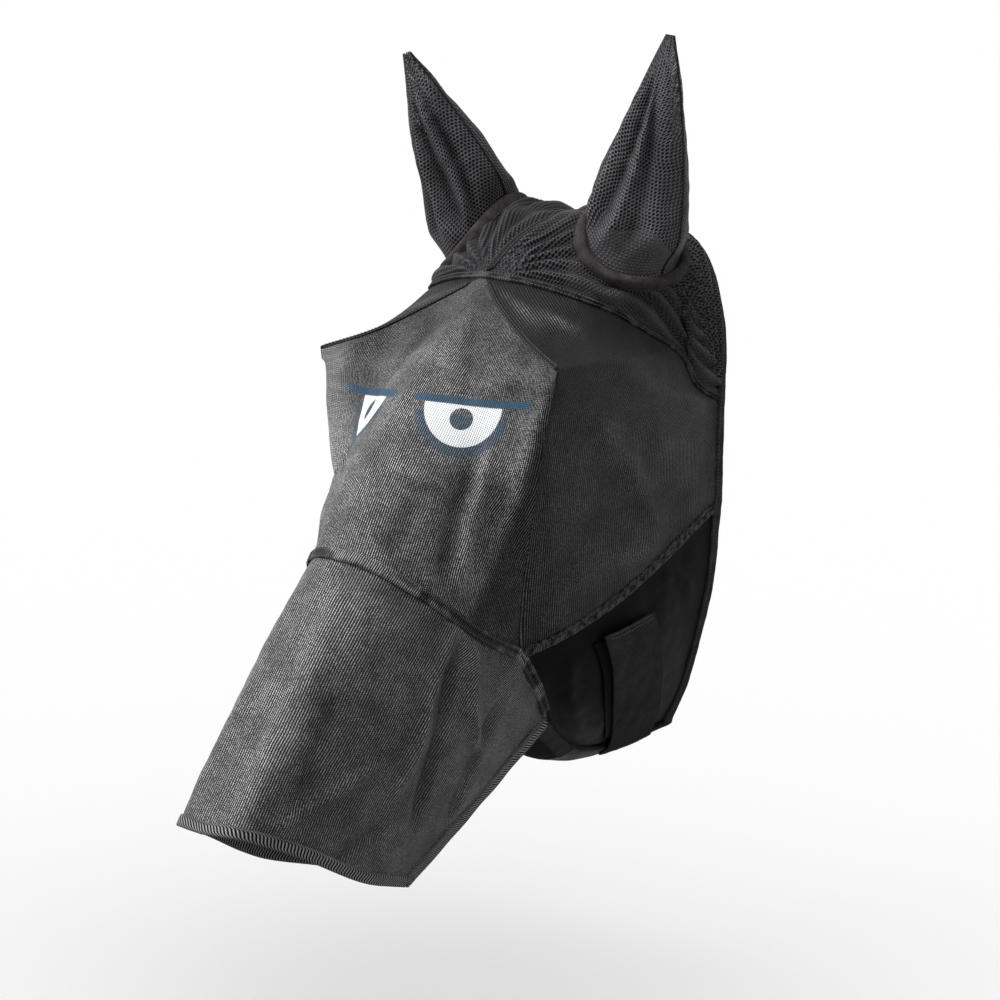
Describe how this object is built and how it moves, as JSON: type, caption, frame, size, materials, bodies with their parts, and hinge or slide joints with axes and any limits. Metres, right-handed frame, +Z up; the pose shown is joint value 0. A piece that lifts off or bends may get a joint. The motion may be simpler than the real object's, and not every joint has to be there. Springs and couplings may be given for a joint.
{
  "type": "fly mask",
  "caption": "Mesh fly mask for a horse's head, with ear sleeves, a long open-bottomed nose, fleece bindings and a hook-and-loop throat closure.",
  "frame": {"origin": "inside of the crown between the ears, where the mask hangs on the horse's poll", "axes": "+Z up, -Y towards the horse's nose, +X the horse's left"},
  "size_m": [0.2604, 0.5558, 0.6859],
  "materials": {
    "mesh": "fine ribbed open mesh with a dull sheen",
    "poll_mesh": "coarse open knit",
    "cheek_cloth": "smooth cloth with a soft sheen",
    "tape": "flat sewn tape",
    "twill": "twill tape, dull",
    "fleece": "short matt pile",
    "hook_loop": "matt hook and loop"
  },
  "bodies": {
    "mask": {"brow_seam_tape": "tape", "crown_seam_tape": "tape", "face_mesh": "mesh", "hook_pad": "hook_loop", "left_cheek_panel": "cheek_cloth", "left_cheek_seam_tape": "tape", "left_dart_tape": "tape", "left_ear_trim": "fleece", "left_jaw_binding": "fleece", "left_poll_mesh": "poll_mesh", "left_rear_binding": "fleece", "nose_hem_tape": "twill", "nose_mesh": "mesh", "nose_seam_tape": "tape", "right_cheek_panel": "cheek_cloth", "right_cheek_seam_tape": "tape", "right_dart_tape": "tape", "right_ear_trim": "fleece", "right_jaw_binding": "fleece", "right_poll_mesh": "poll_mesh", "right_rear_binding": "fleece"},
    "throat_flap": {"throat_flap": "cheek_cloth"},
    "closure_tab": {"closure_tab": "hook_loop"},
    "left_ear": {"left_ear_front": "poll_mesh", "left_ear_back": "poll_mesh"},
    "right_ear": {"right_ear_front": "poll_mesh", "right_ear_back": "poll_mesh"}
  },
  "joints": [
    {"name": "throat_flap_swing", "type": "hinge", "parent": "mask", "child": "throat_flap", "pos_m": [-0.042, 0, -0.46], "axis": [0, 1, 0], "range_deg": [0, 80]},
    {"name": "closure_tab_peel", "type": "hinge", "parent": "throat_flap", "child": "closure_tab", "pos_m": [0.04258, 0.01443, -0.45823], "axis": [0.0701, 0.9952, 0.0677], "range_deg": [0, 110]},
    {"name": "left_ear_lean", "type": "hinge", "parent": "mask", "child": "left_ear", "pos_m": [0.08, -0.034, -0.016], "axis": [1, 0, 0], "range_deg": [-6, 14], "stiffness_Nm_per_rad": 0.3},
    {"name": "right_ear_lean", "type": "hinge", "parent": "mask", "child": "right_ear", "pos_m": [-0.08, -0.034, -0.016], "axis": [1, 0, 0], "range_deg": [-14, 10], "stiffness_Nm_per_rad": 0.3}
  ]
}
